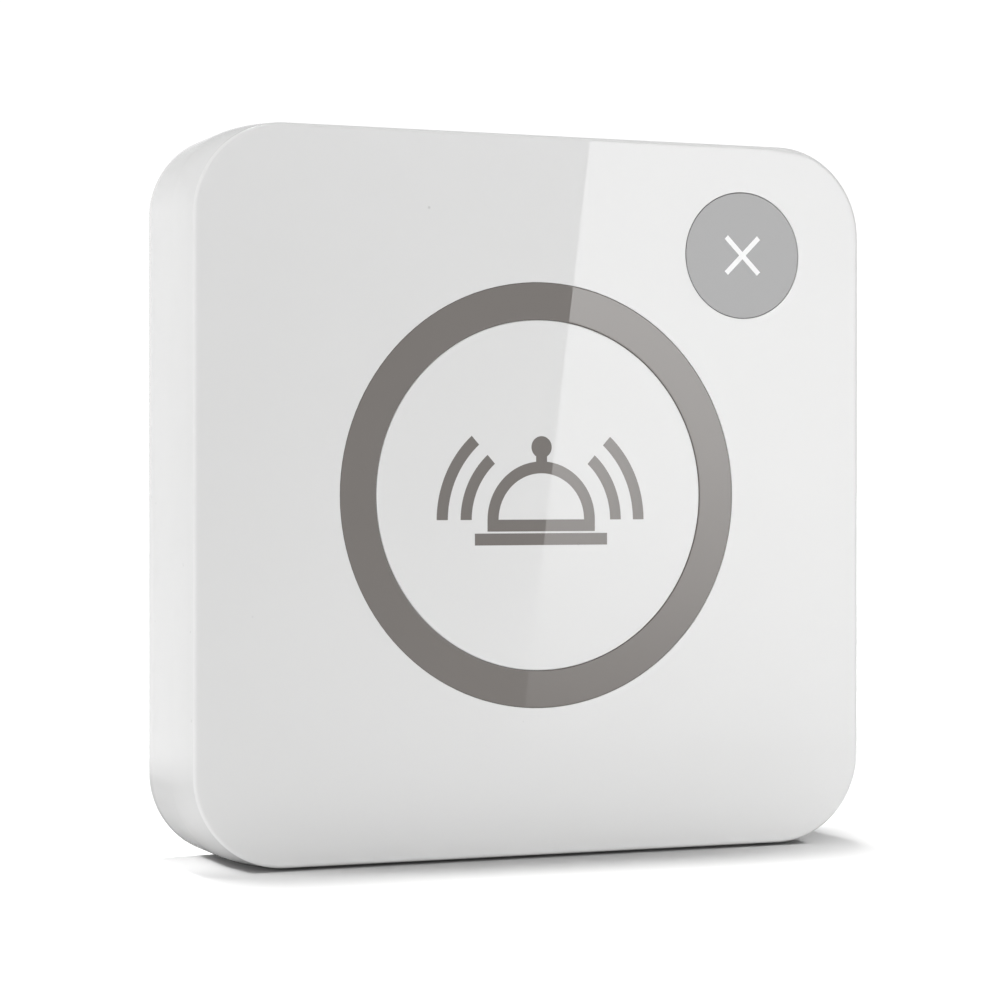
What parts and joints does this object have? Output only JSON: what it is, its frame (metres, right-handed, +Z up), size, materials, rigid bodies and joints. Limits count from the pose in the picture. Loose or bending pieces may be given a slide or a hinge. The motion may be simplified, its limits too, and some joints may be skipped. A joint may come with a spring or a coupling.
{
  "type": "waiter call button",
  "caption": "Square wireless call button with a round call cap in a grey trim ring, a small grey cancel cap and a turning battery door.",
  "frame": {"origin": "middle of the lower edge that it stands on: centre of the box in X and Y, on the floor in Z", "axes": "+X to the right seen from the front, +Y from the front face to the back face, +Z up the face"},
  "size_m": [0.086, 0.018, 0.086],
  "materials": {
    "white_shell": "polished white moulding",
    "taupe_ring": "polished taupe grey",
    "grey_cap": "satin mid grey",
    "white_back": "fine moulded texture",
    "switch_black": "moulded black",
    "spring_steel": "bright strip",
    "board_green": "solder mask",
    "chip_black": "moulded epoxy",
    "ceramic": "chip ceramic",
    "copper_wire": "enamelled wire",
    "contact_brass": "bent spring brass",
    "cell_steel": "pressed steel",
    "seal_rubber": "soft black"
  },
  "bodies": {
    "housing": {"front_cover": "white_shell", "trim_ring": "taupe_ring", "call_switch_housing": "switch_black", "call_switch_frame": "spring_steel", "call_switch_dome": "spring_steel", "cancel_switch_housing": "switch_black", "cancel_switch_frame": "spring_steel", "cancel_switch_dome": "spring_steel", "circuit_board": "board_green", "board_screws": "spring_steel", "encoder_chip": "chip_black", "resonator_can": "cell_steel", "radio_transistor": "chip_black", "small_components": "ceramic", "antenna_coil": "copper_wire", "battery_holder": "switch_black", "battery_contact_positive": "contact_brass", "battery_contact_negative": "contact_brass", "coin_cell": "cell_steel", "rear_cover": "white_back"},
    "call_key": {"call_button": "white_shell", "call_switch_plunger": "switch_black"},
    "cancel_key": {"cancel_button": "grey_cap", "cancel_switch_plunger": "switch_black"},
    "battery_hatch": {"battery_door": "white_back", "door_seal": "seal_rubber"}
  },
  "joints": [
    {"name": "call_press", "type": "slide", "parent": "housing", "child": "call_key", "axis": [0, 1, 0], "range_m": [0, 0.0005], "stiffness_N_per_m": 2000},
    {"name": "cancel_press", "type": "slide", "parent": "housing", "child": "cancel_key", "axis": [0, 1, 0], "range_m": [0, 0.0005], "stiffness_N_per_m": 2000},
    {"name": "door_turn", "type": "hinge", "parent": "housing", "child": "battery_hatch", "pos_m": [0, 0.009, 0.023], "axis": [0, -1, 0], "range_deg": [0, 40]}
  ]
}
